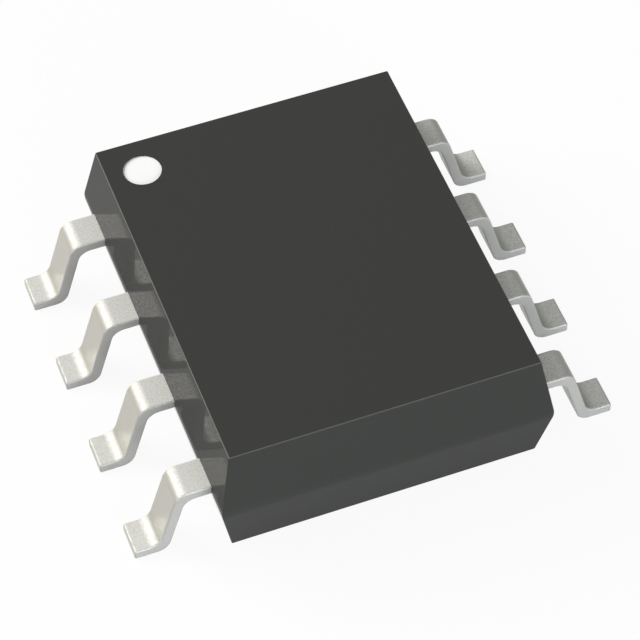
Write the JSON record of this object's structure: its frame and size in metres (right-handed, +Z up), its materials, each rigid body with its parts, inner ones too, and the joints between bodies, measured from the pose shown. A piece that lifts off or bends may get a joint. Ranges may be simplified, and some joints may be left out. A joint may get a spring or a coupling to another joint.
{
  "type": "small outline surface-mount chip package",
  "caption": "Small-outline surface-mount chip: dark drafted moulding with a white pin 1 dot and tin-plated gull-wing leads along both long sides.",
  "frame": {"origin": "on the board plane under the feet, below the middle of the body", "axes": "+X across the body, out along the leads; +Y along the rows of leads, towards lead 1; +Z up from the board"},
  "size_m": [0.0058, 0.005, 0.0018],
  "materials": {
    "moulding": "smooth dark grey epoxy moulding, glossy at low angles",
    "tinned_lead": "matt tin plating with a fine grain, duller on the sheared sides",
    "white_ink": "flat white ink",
    "copper_frame": "bare copper alloy, stamped",
    "attach_adhesive": "silver-filled adhesive",
    "silicon": "polished silicon",
    "gold_wire": "drawn gold wire"
  },
  "bodies": {
    "root": {"moulded_body": "moulding", "lead_1": "tinned_lead", "lead_2": "tinned_lead", "lead_3": "tinned_lead", "lead_4": "tinned_lead", "lead_5": "tinned_lead", "lead_6": "tinned_lead", "lead_7": "tinned_lead", "lead_8": "tinned_lead", "pin_one_mark": "white_ink", "die_paddle": "copper_frame", "die_attach": "attach_adhesive", "silicon_die": "silicon", "bond_wire_1": "gold_wire", "bond_wire_2": "gold_wire", "bond_wire_3": "gold_wire", "bond_wire_4": "gold_wire", "bond_wire_5": "gold_wire", "bond_wire_6": "gold_wire", "bond_wire_7": "gold_wire", "bond_wire_8": "gold_wire"}
  },
  "joints": []
}
